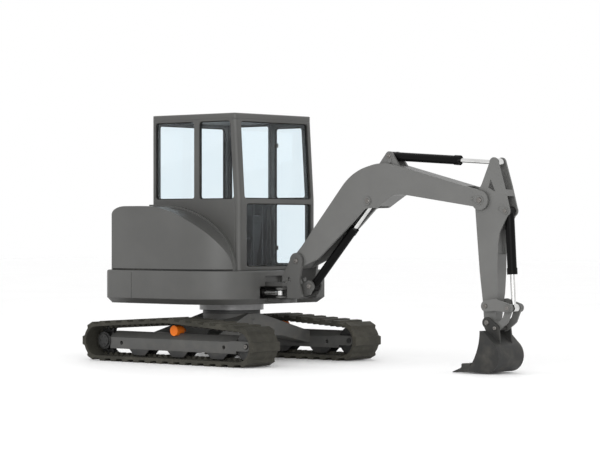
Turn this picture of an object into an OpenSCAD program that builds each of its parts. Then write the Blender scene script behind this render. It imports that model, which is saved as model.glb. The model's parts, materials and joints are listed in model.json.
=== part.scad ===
// Mini excavator with cab, two rubber tracks, swing boom, stick and bucket.
// X points forward, Y to the machine's left, Z up. The ground is at Z = 0.

/* [Tracks] */
// Distance between the track centre lines
track_gauge = 1560; // [1400:10:1760]
// Width of each track
track_width = 400; // [300:10:440]
// Distance from the machine's middle to each drum axle
drum_x = 970; // [860:10:1080]
// Radius of a track end out to the lug tips
track_r = 200; // [180:1:230]
// Thickness of the belt
belt_t = 26; // [18:1:34]
// Height of a lug above the belt
lug_h = 26; // [16:1:34]
// Number of lugs round one track
lug_count = 30; // [22:1:40]
// Number of guide teeth inside one track
guide_count = 62; // [36:1:72]
// Height of a guide tooth
guide_h = 28; // [10:1:34]
// Width of the guide tooth band
guide_w = 60; // [40:5:80]
// Radius of the carrier roller
carrier_r = 53; // [40:1:60]
// Height of the carrier roller axle
carrier_z = 326; // [312:1:340]
// Radius of a bottom roller
roller_r = 30; // [22:1:34]
// Number of bottom rollers per track
roller_count = 3; // [3:1:5]

/* [Undercarriage] */
// Width of a track frame beam
beam_w = 150; // [120:5:200]
// Height of the beam underside
beam_z0 = 123; // [118:1:140]
// Height of the beam top
beam_z1 = 300; // [270:1:310]
// Rear end of a beam
beam_x0 = -890; // [-920:5:-840]
// Front end of a beam
beam_x1 = 836; // [780:5:860]
// Radius of the drive motor hub
hub_r = 89; // [70:1:110]
// Radius of the slew bearing's outer ring
slew_r = 327; // [280:1:360]
// Radius of the slew bearing's spigot
spigot_r = 200; // [160:1:230]
// Height of the slew bearing's lower face
slew_z0 = 480; // [465:1:495]
// Radius of a lashing hole in a beam end
lash_r = 20; // [12:1:24]

/* [House] */
// Height of the platform underside
platform_z0 = 583; // [575:1:600]
// Height of the platform top
platform_z1 = 920; // [860:5:980]
// Half width of the platform
platform_y = 789; // [740:1:840]
// Front face of the platform
platform_x1 = 574; // [550:1:600]
// Plan radius of the front right corner
corner_r = 600; // [400:10:640]
// Chamfer along the platform underside
platform_chamfer = 55; // [30:5:80]
// Rounding along the platform's upper edges
edge_r = 18; // [6:1:18]
// Rear face of the counterweight
tail_x = -1063; // [-1120:1:-1020]
// Front face of the counterweight
weight_x = -652; // [-670:1:-640]
// Plan radius of the counterweight's rear corners
weight_r = 100; // [80:5:240]
// Rear face of the hood
hood_x = -957; // [-1000:1:-930]
// Half width of the hood
hood_y = 770; // [720:1:800]
// Height of the hood top
hood_z = 1568; // [1480:2:1620]
// Front end of the hood curve
hood_nose_x = 470; // [400:5:520]
// Start of the hood curve
hood_curve_x = -550; // [-600:5:-500]
// Wall thickness of the hood
hood_t = 22; // [12:1:30]
// Height of the rim along the hood's inner edge
rim_h = 16; // [6:1:30]
// Width of the rim along the hood's inner edge
rim_w = 36; // [20:1:60]
// Width of the engine door
lid_w = 960; // [800:10:1100]
// Height of the engine door
lid_h = 440; // [360:5:480]

/* [Cab] */
// Rear face of the cab
cab_x0 = -696; // [-720:1:-640]
// Front face of the cab at the sill
cab_x1 = 514; // [490:1:540]
// Right face of the cab
cab_y0 = -453; // [-480:1:-430]
// Left face of the cab
cab_y1 = 715; // [690:1:740]
// Height of the cab roof
cab_top = 2493; // [2400:1:2600]
// Thickness of the roof
roof_t = 57; // [40:1:80]
// Set-back of the windscreen at the roof
cab_lean = 53; // [20:1:90]
// Height of the window sill
sill_z = 1634; // [1600:1:1680]
// Thickness of the cab walls
wall_t = 44; // [36:1:60]
// Depth of the windscreen frame
screen_t = 54; // [44:1:70]
// Width of the left post in the windscreen frame
post_w = 62; // [44:1:90]
// Width of the right post above the rail
right_post_w = 85; // [60:1:110]
// Width of the right post below the rail
low_post_w = 112; // [60:1:130]
// Corner radius of the windows
pane_r = 34; // [10:1:50]
// Plan radius of the cab's corners
cab_r = 42; // [12:1:43]
// Rounding of the roof's upper edges
roof_r = 26; // [8:1:36]
// Height of the rail across the windscreen
transom_h = 48; // [36:1:70]
// Middle of the side posts
mid_post_x = -64; // [-120:1:-20]
// Width of the side posts
mid_post_w = 68; // [60:1:150]
// Thickness of the window glass
glass_t = 6; // [4:1:10]
// Gap all round the cab door
door_gap = 6; // [5:0.5:10]

/* [Swing post] */
// Distance of the swing pin in front of the middle
swing_x = 760; // [730:1:800]
// Radius of the swing pin
swing_pin_r = 32; // [24:1:40]
// Radius of the swing post tube
post_r = 84; // [70:1:92]
// Height of the post's lower end
post_z0 = 646; // [640:1:660]
// Height of the post's upper end
post_z1 = 756; // [740:1:770]
// Sideways distance of the swing cylinder
swing_cyl_y = 160; // [150:1:200]
// Radius of the swing cylinder barrel
swing_barrel_r = 38; // [30:1:44]

/* [Boom] */
// Boom foot pin, forward position
foot_x = 980; // [960:1:1010]
// Boom foot pin, height
foot_z = 1020; // [1000:1:1050]
// Boom tip pin, forward position
tip_x = 3200; // [3100:5:3300]
// Boom tip pin, height
tip_z = 1603; // [1560:1:1650]
// Width of the boom
boom_w = 200; // [180:2:230]
// Thickness of the boom's side plates
boom_plate = 25; // [20:1:30]
// Radius of the boom pins
boom_pin_r = 28; // [20:1:32]
// Radius of the boom cylinder barrel
lift_barrel_r = 42; // [34:1:48]
// Radius of the boom cylinder rod
lift_rod_r = 24; // [18:1:28]

/* [Stick] */
// Width of the stick
stick_w = 140; // [120:2:144]
// Thickness of the stick's side plates
stick_plate = 15; // [10:1:20]
// Radius of the stick cylinder barrel
crowd_barrel_r = 42; // [34:1:48]
// Radius of the stick cylinder rod
crowd_rod_r = 21; // [16:1:26]
// Radius of the bucket cylinder barrel
curl_barrel_r = 44; // [34:1:46]
// Radius of the bucket cylinder rod
curl_rod_r = 22; // [16:1:26]
// Radius of the bucket linkage pins
link_pin_r = 22; // [16:1:26]

/* [Bucket] */
// Width of the bucket
bucket_w = 400; // [300:10:560]
// Radius of the bucket's rounded back
bucket_r = 152; // [140:1:170]
// Thickness of the bucket plates
bucket_t = 14; // [8:1:18]
// Number of bucket teeth
tooth_count = 4; // [3:1:5]
// Width of a bucket tooth
tooth_w = 52; // [36:1:60]
// Reach of a tooth in front of the lip
tooth_len = 170; // [120:5:190]

/* [Hidden] */
// Running clearance between a pin and its bore
pin_gap = 0.05;
// Side clearance between plates that swing past each other
side_gap = 6;
// Smoothness of round faces
$fn = 48;

// Belt path round both drums and the carrier roller
belt_r = track_r - lug_h - belt_t;
peak_r = carrier_r + guide_h;
path_hyp = sqrt((carrier_z - track_r) * (carrier_z - track_r) + drum_x * drum_x);
path_a = atan2(carrier_z - track_r, drum_x) - asin((belt_r - peak_r) / path_hyp);
arc_len = (180 - path_a) * PI / 180 * belt_r;
slope_len = sqrt(path_hyp * path_hyp - (belt_r - peak_r) * (belt_r - peak_r));
peak_len = path_a * PI / 180 * peak_r;
half_len = drum_x + arc_len + slope_len + peak_len;

// Point of the belt path at length u from the bottom middle, moved out by off
function half_path(u, off) =
    u < drum_x
    ? [u, track_r - belt_r - off]
    : u < drum_x + arc_len
    ? let (a = -90 + (u - drum_x) / belt_r * 180 / PI)
      [drum_x + (belt_r + off) * cos(a), track_r + (belt_r + off) * sin(a)]
    : u < drum_x + arc_len + slope_len
    ? let (v = u - drum_x - arc_len)
      [drum_x + (belt_r + off) * sin(path_a) - v * cos(path_a),
       track_r + (belt_r + off) * cos(path_a) + v * sin(path_a)]
    : let (a = 90 - path_a + (u - drum_x - arc_len - slope_len) / peak_r * 180 / PI)
      [(peak_r + off) * cos(a), carrier_z + (peak_r + off) * sin(a)];

function path(s, off) =
    let (w = s > half_len ? s - 2 * half_len : s, p = half_path(abs(w), off))
    [w < 0 ? -p[0] : p[0], p[1]];

lug_pitch = 2 * half_len / lug_count;
guide_pitch = 2 * half_len / guide_count;
lug_line = [for (i = [0 : lug_count - 1])
    let (s = -half_len + (i + 0.5) * lug_pitch)
    each [path(s - 0.27 * lug_pitch, belt_t), path(s - 0.19 * lug_pitch, belt_t + lug_h),
        path(s + 0.19 * lug_pitch, belt_t + lug_h), path(s + 0.27 * lug_pitch, belt_t),
        path(s + 0.5 * lug_pitch, belt_t)]];
belt_line = [for (i = [0 : 2 * guide_count - 1])
    path(-half_len + i * guide_pitch / 2, 0)];
guide_line = [for (i = [0 : guide_count - 1])
    let (s = -half_len + i * guide_pitch)
    each [path(s - 0.30 * guide_pitch, -1), path(s - 0.16 * guide_pitch, -guide_h),
        path(s + 0.16 * guide_pitch, -guide_h), path(s + 0.30 * guide_pitch, -1)]];
guide_rim = [for (i = [0 : 2 * guide_count - 1])
    path(-half_len + i * guide_pitch / 2, belt_t / 2)];

// Joint pins of the digging arm, as [forward, height]
foot = [foot_x, foot_z];
tip = [tip_x, tip_z];
lift_base = [foot_x + 120, foot_z - 250];
lift_eye = [foot_x + 886, foot_z + 587];
crowd_base = [tip_x - 1092, tip_z + 432];
crowd_eye = [tip_x + 140, tip_z + 349];
curl_base = [tip_x + 270, tip_z - 99];
curl_eye = [tip_x + 321, tip_z - 993];
rock_pin = [tip_x + 70, tip_z - 979];
bucket_pin = [tip_x + 85, tip_z - 1131];
link_pin = [tip_x + 180, tip_z - 1181];
bucket_c = [bucket_pin[0] + 55, bucket_r + 12];

// Reach of the whole machine along X, and the shift that centres it
front_x = curl_eye[0] + 44;
rear_x = -drum_x - track_r;
shift_x = -(front_x + rear_x) / 2;

// Sideways positions in the arm
boom_in = boom_w / 2 - boom_plate;
fork_r = 216;
stick_in = stick_w / 2 - stick_plate;
nose_y = stick_w / 2 - 15;
link_y0 = nose_y + side_gap;
link_t = 16;
ear_y0 = link_y0 + link_t + side_gap;
ear_t = 20;

// Boom range about its foot pin, with the turn and the stroke of its cylinder per degree
lift_low = -55;
lift_high = 45;
lift_turn = 0.9316;
lift_stroke = 4.26;
lift_len = norm(lift_eye - lift_base);
lift_a = atan2(lift_eye[1] - lift_base[1], lift_eye[0] - lift_base[0]);

// Point of the boom cylinder's axis at boom angle t, as seen from the boom
function lift_at(t, l) =
    let (v = lift_base - foot, a = lift_a + (lift_turn - 1) * t)
    foot + [v[0] * cos(t) + v[1] * sin(t), v[1] * cos(t) - v[0] * sin(t)] + l * [cos(a), sin(a)];

// Upright hinges of the cab door and the engine door
hinge_r = 12;
door_hinge = [mid_post_x + door_gap / 2, cab_y1 + 14];
door_hinge_z = [platform_z1 + 150, cab_top - roof_t - 300];
lid_gap = 6;
lid_hinge = [hood_x - 14, lid_w / 2 - lid_gap / 2];
lid_hinge_z = [platform_z1 + 110, platform_z1 + lid_h - 90];

// Swing cylinder, from its rear face to the rod eye
swing_eye_x = swing_x + 40;
swing_back = 720;

cab_zw = cab_top - roof_t;
sill_top = sill_z + 4;
lid_z0 = platform_z1 + 60;

// Unit vector along v
function unit(v) = v / norm(v);

// Points of an arc of radius r about c, from angle a0 to a1
function arc(c, r, a0, a1, n = 10) =
    [for (i = [0 : n])
        let (a = a0 + (a1 - a0) * i / n)
        c + r * [cos(a), sin(a)]];

// Corner p between the points a and b, rounded to radius r
function corner(p, a, b, r) =
    let (u = unit(a - p), v = unit(b - p), half = acos(u * v) / 2,
        c = p + unit(u + v) * r / sin(half), s = p + u * r / tan(half) - c,
        e = p + v * r / tan(half) - c, a0 = atan2(s[1], s[0]),
        turn = (atan2(e[1], e[0]) - a0 + 540) % 360 - 180)
    arc(c, r, a0, a0 + turn);

// Outline through corners given as [x, y, radius]
function rounded(line) =
    let (n = len(line), p = [for (q = line) [q[0], q[1]]])
    [for (i = [0 : n - 1])
        each (line[i][2] > 0
            ? corner(p[i], p[(i + n - 1) % n], p[(i + 1) % n], line[i][2])
            : [p[i]])];

// Corner at the pin p moved by d, with radius r
function by(p, d, r = 0) = [p[0] + d[0], p[1] + d[1], r];

// Rectangle with round corners
function pane(x0, y0, x1, y1) =
    rounded([[x0, y0, pane_r], [x1, y0, pane_r], [x1, y1, pane_r], [x0, y1, pane_r]]);

// Place a part in the shared frame
module placed() {
    translate([shift_x, 0, 0])
        children();
}

// Flat outline in X and Z, made w thick about the plane y
module slab(w, y = 0) {
    translate([0, y + w / 2, 0])
        rotate([90, 0, 0])
            linear_extrude(height = w)
                children();
}

// Round bar along Y about the pin p
module bar(p, r, w, y = 0) {
    translate([p[0], y + w / 2, p[1]])
        rotate([90, 0, 0])
            cylinder(r = r, h = w);
}

// Round bar from point a towards point b, from length l0 to l1
module shaft(a, b, r, l0, l1) {
    tilt = atan2(b[1] - a[1], b[0] - a[0]);
    translate([a[0], 0, a[1]])
        rotate([0, 90 - tilt, 0])
            translate([0, 0, l0])
                cylinder(r = r, h = l1 - l0);
}

// Flat bar in X and Z with round ends about two pins
module strap(a, b, ra, rb) {
    d = b - a;
    l = norm(d);
    n = [-d[1], d[0]] / l;
    polygon([a + n * ra, a - n * ra, b - n * rb, b + n * rb]);
    translate(a)
        circle(r = ra);
    translate(b)
        circle(r = rb);
}

// Fixed half of an upright hinge: a knuckle with its pin, and a leaf of the given size
module hinge_fixed(p, z, at, size) {
    translate([p[0], p[1], z]) {
        cylinder(r = hinge_r, h = 45);
        cylinder(r = hinge_r / 2, h = 88);
        translate(at)
            cube([size[0], size[1], 45]);
    }
}

// Moving half of an upright hinge, set on the fixed half's pin
module hinge_moving(p, z, at, size) {
    translate([p[0], p[1], z + 46])
        difference() {
            union() {
                cylinder(r = hinge_r, h = 45);
                translate(at)
                    cube([size[0], size[1], 45]);
            }
            translate([0, 0, -1])
                cylinder(r = hinge_r / 2 + pin_gap, h = 47);
        }
}

// Undercarriage

module track(side) {
    color([0.22, 0.22, 0.2])
        placed() {
            slab(track_width, side * track_gauge / 2)
                difference() {
                    polygon(lug_line);
                    polygon(belt_line);
                }
            slab(guide_w, side * track_gauge / 2)
                difference() {
                    polygon(guide_rim);
                    polygon(guide_line);
                }
        }
}

module track_R() {
    track(-1);
}

module track_L() {
    track(1);
}

// Beam with sloped shoulders, cut for the sprocket, the hub and the carrier roller
module track_frame(side) {
    y = track_gauge / 2;
    shoulder = beam_z1 - 63;
    color([0.36, 0.36, 0.35])
        placed()
            difference() {
                union() {
                    translate([beam_x0, 0, 0])
                        rotate([90, 0, 90])
                            linear_extrude(height = beam_x1 - beam_x0)
                                polygon([
                                    [side * (y - beam_w / 2), beam_z0],
                                    [side * (y + beam_w / 2), beam_z0],
                                    [side * (y + beam_w / 2), shoulder],
                                    [side * (y + beam_w / 2 - 50), beam_z1],
                                    [side * (y - beam_w / 2 + 50), beam_z1],
                                    [side * (y - beam_w / 2), shoulder]]);
                    for (s = [-1, 1])
                        slab(20, side * y + s * (beam_w / 2 - 10))
                            strap([beam_x1 - 60, track_r], [drum_x, track_r], 50, 50);
                    slab(24, side * (y - beam_w / 2 + 30))
                        strap([0, beam_z1 - 30], [0, carrier_z], 40, 30);
                }
                bar([-drum_x, track_r], belt_r + 6, 76, side * y);
                bar([-drum_x, track_r], hub_r, beam_w + 40, side * y);
                bar([drum_x, track_r], belt_r + 6, beam_w - 40, side * y);
                bar([drum_x, track_r], 26, beam_w + 40, side * y);
                bar([0, carrier_z], carrier_r + 4, 110, side * (y + 20));
                bar([0, carrier_z], 18, beam_w + 100, side * y);
                bar([beam_x0 + 160, beam_z0 + 60], lash_r, beam_w + 40, side * y);
                bar([beam_x1 - 160, beam_z0 + 60], lash_r, beam_w + 40, side * y);
            }
}

module track_frame_R() {
    track_frame(-1);
}

module track_frame_L() {
    track_frame(1);
}

// Drive wheels with their motor hubs
module sprockets() {
    step = guide_pitch / belt_r * 180 / PI;
    start = 270 - (half_len - drum_x - guide_pitch / 2) / belt_r * 180 / PI;
    root_r = belt_r - guide_h - 6;
    root_w = 0.21 * guide_pitch;
    tip_w = 0.11 * guide_pitch;
    y = track_gauge / 2;
    color([0.3, 0.3, 0.3])
        placed()
            for (side = [-1, 1]) {
                slab(guide_w - 16, side * y)
                    translate([-drum_x, track_r]) {
                        circle(r = root_r);
                        for (i = [0 : round(360 / step) - 1])
                            rotate(start + i * step)
                                polygon([[root_r - 6, -root_w], [belt_r - 4, -tip_w],
                                    [belt_r - 4, tip_w], [root_r - 6, root_w]]);
                    }
                bar([-drum_x, track_r], hub_r, beam_w + 16, side * y);
                bar([-drum_x, track_r], hub_r - 22, beam_w + 40, side * y);
            }
}

module idlers() {
    rim_y = guide_w / 2 + 4;
    rim_t = (beam_w - 50) / 2 - rim_y;
    rim_r = belt_r * cos(guide_pitch / belt_r * 45 / PI) - 0.3;
    y = track_gauge / 2;
    color([0.25, 0.25, 0.25])
        placed()
            for (side = [-1, 1]) {
                bar([drum_x, track_r], belt_r - guide_h - 6, beam_w - 50, side * y);
                for (s = [-1, 1])
                    bar([drum_x, track_r], rim_r, rim_t, side * y + s * (rim_y + rim_t / 2));
                bar([drum_x, track_r], 26, beam_w + 16, side * y);
            }
}

// Bottom rollers, each in its own saddle under the beam
module bottom_rollers() {
    y = track_gauge / 2;
    z = track_r - belt_r + roller_r;
    first = beam_x0 + 413;
    step = (beam_x1 - 246 - first) / (roller_count - 1);
    drum_y0 = guide_w / 2 + 4;
    drum_y1 = beam_w / 2 - 18;
    top = 140;
    low = 78;
    color([0.12, 0.12, 0.12])
        placed()
            for (side = [-1, 1])
                for (i = [0 : roller_count - 1]) {
                    x = first + i * step;
                    for (s = [-1, 1]) {
                        bar([x, z], roller_r, drum_y1 - drum_y0, side * y + s * (drum_y0 + drum_y1) / 2);
                        bar([x, z], 14, beam_w / 2 - drum_y0, side * y + s * (beam_w / 2 + drum_y0) / 2);
                        slab(14, side * y + s * (beam_w / 2 - 7))
                            polygon(rounded([[x - top, beam_z0, 0], [x - low, z - 18, 20],
                                [x + low, z - 18, 20], [x + top, beam_z0, 0]]));
                    }
                }
}

module carrier_rollers() {
    tooth_a = 0.16 * guide_pitch / peak_r * 180 / PI;
    color([1, 0.45, 0.08])
        placed()
            for (side = [-1, 1]) {
                bar([0, carrier_z], carrier_r * cos(tooth_a) - 0.3, 100, side * (track_gauge / 2 + 20));
                bar([0, carrier_z], 18, 130, side * (track_gauge / 2 - 20));
            }
}

// Cross-shaped middle frame that slopes down to both beams
module car_body() {
    leg_y = track_gauge / 2 - beam_w / 2;
    flat_y = 90;
    color([0.34, 0.34, 0.34])
        placed()
            difference() {
                union() {
                    intersection() {
                        for (m = [-1, 1])
                            linear_extrude(height = slew_z0)
                                polygon([[-450, m * leg_y], [-290, m * leg_y], [0, m * 150],
                                    [290, m * leg_y], [450, m * leg_y], [290, 0], [-290, 0]]);
                        translate([-drum_x, 0, 0])
                            rotate([90, 0, 90])
                                linear_extrude(height = 2 * drum_x)
                                    polygon([[-leg_y, 160], [-leg_y, beam_z1 - 14], [-flat_y, slew_z0],
                                        [flat_y, slew_z0], [leg_y, beam_z1 - 14], [leg_y, 160],
                                        [360, 250], [-360, 250]]);
                    }
                    rotate_extrude($fn = 96)
                        polygon([[0, 300], [230, 300], each arc([slew_r + 10, 340], 90, 200, 115),
                            [slew_r - 34, slew_z0 - 40], [slew_r - 34, slew_z0], [0, slew_z0]]);
                }
                translate([0, 0, slew_z0 - 40])
                    cylinder(r = spigot_r - 30, h = 50);
            }
}

// Slew bearing

module slew_ring_lower() {
    color([0.3, 0.3, 0.31])
        placed()
            translate([0, 0, slew_z0])
                difference() {
                    union() {
                        cylinder(r = slew_r - 34, h = 30);
                        cylinder(r = spigot_r, h = platform_z0 - slew_z0 - 8);
                    }
                    translate([0, 0, -1])
                        cylinder(r = spigot_r - 30, h = platform_z0);
                }
}

module slew_ring_upper() {
    color([0.42, 0.42, 0.43])
        placed()
            translate([0, 0, slew_z0 + 36])
                difference() {
                    cylinder(r = slew_r, h = platform_z0 - slew_z0 - 36);
                    translate([0, 0, -1])
                        cylinder(r = spigot_r + pin_gap, h = platform_z0);
                }
}

// House

// Plan of the platform with its big round corner
module platform_plan(x0, x1) {
    difference() {
        translate([x0, -platform_y])
            square([x1 - x0, 2 * platform_y]);
        translate([platform_x1 - corner_r, -platform_y - 1])
            difference() {
                square([corner_r + 1, corner_r + 1]);
                translate([0, corner_r + 1])
                    circle(r = corner_r, $fn = 96);
            }
    }
}

// Chamfer below and rounding above, to cut from an edge at distance o
module edge_cut(o) {
    c = platform_chamfer;
    h = platform_z1 - platform_z0;
    polygon([[o + 1, -1], [o + 1, c], [o, c], [o - c, 0], [o - c, -1]]);
    polygon([[o + 1, h + 1], [o + 1, h - edge_r], each arc([o - edge_r, h - edge_r], edge_r, 0, 90),
        [o - edge_r, h + 1]]);
}

module left_edge(x0, x1) {
    translate([x0 - 1, 0, platform_z0])
        rotate([90, 0, 90])
            linear_extrude(height = x1 - x0 + 2)
                edge_cut(platform_y);
}

// Edges to cut along both sides
module side_edges(x0_left, x0_right, x1_left, x1_right) {
    left_edge(x0_left, x1_left);
    mirror([0, 1, 0])
        left_edge(x0_right, x1_right);
}

module platform() {
    corner_at = [platform_x1 - corner_r, corner_r - platform_y];
    bay_h = post_z1 - post_z0 + 12;
    bay_y = swing_cyl_y + 50;
    color([0.36, 0.36, 0.36])
        placed()
            difference() {
                union() {
                    difference() {
                        translate([0, 0, platform_z0])
                            linear_extrude(height = platform_z1 - platform_z0)
                                platform_plan(weight_x, platform_x1);
                        side_edges(weight_x, weight_x, platform_x1, corner_at[0] - 1);
                        slab(2 * platform_y, platform_y + corner_at[1])
                            translate([0, platform_z0])
                                edge_cut(platform_x1);
                        translate([corner_at[0], corner_at[1], platform_z0])
                            rotate([0, 0, -90])
                                rotate_extrude(angle = 90, $fn = 96)
                                    edge_cut(corner_r);
                        translate([platform_x1 - 300, -bay_y, post_z0 - 6])
                            cube([301, bay_y + 140, bay_h]);
                        translate([platform_x1 - 40, -post_r - 46, post_z1])
                            cube([41, 2 * post_r + 92, 110]);
                        translate([swing_eye_x - swing_back, -bay_y, post_z0 - 6])
                            cube([platform_x1 - swing_eye_x + swing_back - 200, 100, bay_h]);
                    }
                    for (z = [post_z0 - 46, post_z1 + 6])
                        translate([0, 0, z]) {
                            translate([platform_x1 - 80, -post_r - 6, 0])
                                cube([swing_x - platform_x1 + 80, 2 * post_r + 12, 40]);
                            translate([swing_x, 0, 0])
                                cylinder(r = post_r + 6, h = 40);
                        }
                }
                translate([swing_x, 0, post_z0 - 50])
                    cylinder(r = swing_pin_r + pin_gap, h = post_z1 - post_z0 + 100);
            }
}

// Counterweight with round rear corners
module counterweight() {
    r = weight_r;
    color([0.34, 0.34, 0.34])
        placed()
            difference() {
                translate([0, 0, platform_z0])
                    linear_extrude(height = platform_z1 - platform_z0)
                        polygon(rounded([[tail_x, -platform_y, r], [weight_x, -platform_y, 8],
                            [weight_x, platform_y, 8], [tail_x, platform_y, r]]));
                side_edges(tail_x + r, tail_x + r, weight_x, weight_x);
                mirror([1, 0, 0])
                    slab(2 * platform_y - 2 * r)
                        translate([0, platform_z0])
                            edge_cut(-tail_x);
                for (m = [0, 1])
                    translate([tail_x + r, (2 * m - 1) * (platform_y - r), platform_z0])
                        rotate([0, 0, 180 - 90 * m])
                            rotate_extrude(angle = 90, $fn = 96)
                                edge_cut(r);
            }
}

// Side outline of the hood, moved in by t
function hood_line(t) = [
    [hood_x + t, platform_z1],
    for (i = [0 : 8])
        let (a = 180 - i * 90 / 8)
        [hood_x + 190 + (190 - t) * cos(a), hood_z - 85 + (85 - t) * sin(a)],
    for (i = [0 : 40])
        let (a = 90 - i * 90 / 40)
        [hood_curve_x + (hood_nose_x - hood_curve_x - t) * cos(a),
         platform_z1 + (hood_z - platform_z1 - t) * sin(a)]];

// Body of the hood, moved in by t
module hood_body(t) {
    slab(hood_y + cab_y0 - t, (cab_y0 - hood_y) / 2 + t / 2)
        polygon(hood_line(t));
    intersection() {
        slab(2 * hood_y - 2 * t)
            polygon(hood_line(t));
        translate([hood_x, -hood_y, platform_z1])
            cube([cab_x0 - 2 - t - hood_x, 2 * hood_y, hood_z]);
    }
}

module hood_plan(t) {
    translate([0, 0, platform_z1])
        linear_extrude(height = hood_z)
            difference() {
                translate([hood_x + t, -hood_y + t])
                    square([2 * drum_x, 2 * hood_y - 2 * t]);
                translate([platform_x1 - corner_r, -platform_y - 1])
                    difference() {
                        square([corner_r + 200, corner_r + 1]);
                        translate([0, corner_r + 1])
                            circle(r = corner_r - platform_y + hood_y - t, $fn = 96);
                    }
            }
}

module hood() {
    color([0.37, 0.37, 0.37])
        placed() {
            difference() {
                intersection() {
                    hood_body(0);
                    hood_plan(0);
                }
                intersection() {
                    hood_body(hood_t);
                    hood_plan(hood_t);
                }
                translate([hood_x - 1, -lid_w / 2, lid_z0])
                    cube([hood_t + 2, lid_w, lid_h]);
            }
            intersection() {
                slab(rim_w, cab_y0 - rim_w / 2)
                    difference() {
                        polygon(hood_line(-rim_h));
                        polygon(hood_line(hood_t / 2));
                    }
                translate([cab_x0, -hood_y, platform_z1])
                    cube([2 * hood_y, 2 * hood_y, hood_z]);
            }
            for (z = lid_hinge_z)
                hinge_fixed(lid_hinge, z, [6, 0, 0], [9, 60]);
        }
}

module engine_block() {
    color([0.25, 0.25, 0.26])
        placed()
            translate([hood_x + hood_t + 45, -330, platform_z1])
                cube([cab_x0 - hood_x - 2 * hood_t - 60, 660, 470]);
}

// Lid in the rear of the hood, hung on its left edge
module engine_door() {
    color([0.38, 0.38, 0.38])
        placed() {
            translate([hood_x, -lid_w / 2 + lid_gap, lid_z0 + lid_gap])
                difference() {
                    cube([hood_t, lid_w - 2 * lid_gap, lid_h - 2 * lid_gap]);
                    for (i = [0 : 6])
                        translate([-1, 160, 110 + i * 34])
                            cube([hood_t + 2, lid_w - 330, 14]);
                }
            for (z = lid_hinge_z)
                hinge_moving(lid_hinge, z, [6, -60, 0], [9, 60]);
        }
}

// Cab

// Forward face of the windscreen frame, moved back by t
function screen_line(t) = [[cab_x1 - t, platform_z1], [cab_x1 - t, sill_z],
    [cab_x1 - cab_lean - t, cab_zw]];

lean_a = atan2(cab_lean, cab_zw - sill_z);

// Plan of the windscreen frame with round front corners, t deep
module screen_plan(t) {
    polygon(rounded([[-t, cab_y0, 0], [0, cab_y0, cab_r], [0, cab_y1, cab_r], [-t, cab_y1, 0]]));
}

// Windscreen openings, as seen from the front
low_pane = pane(cab_y0 + low_post_w, platform_z1 + 38, cab_y1 - post_w, sill_top - transom_h);
high_pane = pane(cab_y0 + right_post_w, sill_top, cab_y1 - post_w, cab_zw - 24);
rear_pane = pane(cab_y0 + 90, sill_z, cab_y1 - 90, cab_zw - 40);

// Flat outline in Y and Z, made thick from x0 to x1
module across(x0, x1) {
    translate([x0, 0, 0])
        rotate([90, 0, 90])
            linear_extrude(height = x1 - x0)
                children();
}

module cab_front() {
    color([0.3, 0.3, 0.3])
        placed()
            difference() {
                union() {
                    translate([cab_x1, 0, platform_z1])
                        linear_extrude(height = sill_z - platform_z1)
                            screen_plan(screen_t);
                    intersection() {
                        translate([cab_x1, 0, sill_z])
                            rotate([0, -lean_a, 0])
                                translate([0, 0, -screen_t])
                                    linear_extrude(height = cab_top)
                                        screen_plan(screen_t * cos(lean_a));
                        translate([0, cab_y0 - 1, sill_z])
                            cube([2 * cab_x1, cab_y1 - cab_y0 + 2, cab_zw - sill_z]);
                    }
                }
                across(0, 2 * cab_x1) {
                    polygon(low_pane);
                    polygon(high_pane);
                }
            }
}

// Outline of a side wall between two X positions, below the roof
module side_line(x0) {
    hi = screen_line(screen_t);
    polygon([[x0, platform_z1], hi[0], hi[1], hi[2], [x0, cab_zw]]);
}

// Front side window, with its leaning front edge
module front_window(x0, z0, z1, in, r) {
    x1 = cab_x1 - screen_t - in;
    k = cab_lean / (cab_zw - sill_z);
    sill = z0 < sill_z && z1 > sill_z ? [[x1, sill_z, 0]] : [];
    polygon(rounded(concat([[x0, z0, r], [x1 - max(0, z0 - sill_z) * k, z0, r]], sill,
        [[x1 - max(0, z1 - sill_z) * k, z1, r], [x0, z1, r]])));
}

// Rear side window
module rear_window() {
    polygon(pane(cab_x0 + wall_t + 12, sill_z, mid_post_x - mid_post_w / 2, cab_zw - 20));
}

// Front window of the right side
module right_window() {
    front_window(mid_post_x + mid_post_w / 2, sill_z, cab_zw - 20, 14, pane_r);
}

module cab_right() {
    color([0.3, 0.3, 0.3])
        placed()
            slab(wall_t, cab_y0 + wall_t / 2)
                difference() {
                    side_line(cab_x0 + wall_t);
                    rear_window();
                    right_window();
                }
}

module cab_left() {
    color([0.3, 0.3, 0.3])
        placed() {
            slab(wall_t, cab_y1 - wall_t / 2)
                difference() {
                    translate([cab_x0 + wall_t, platform_z1])
                        square([mid_post_x - cab_x0 - wall_t, cab_zw - platform_z1]);
                    rear_window();
                }
            for (z = door_hinge_z)
                hinge_fixed(door_hinge, z, [4 - mid_post_w / 2, -15, 0], [mid_post_w / 2 - 4, 9]);
        }
}

module cab_rear() {
    color([0.3, 0.3, 0.3])
        placed()
            difference() {
                translate([0, 0, platform_z1])
                    linear_extrude(height = cab_zw - platform_z1)
                        polygon(rounded([[cab_x0, cab_y0, cab_r], [cab_x0 + wall_t, cab_y0, 0],
                            [cab_x0 + wall_t, cab_y1, 0], [cab_x0, cab_y1, cab_r]]));
                across(cab_x0 - 1, cab_x0 + wall_t + 1)
                    polygon(rear_pane);
            }
}

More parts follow.
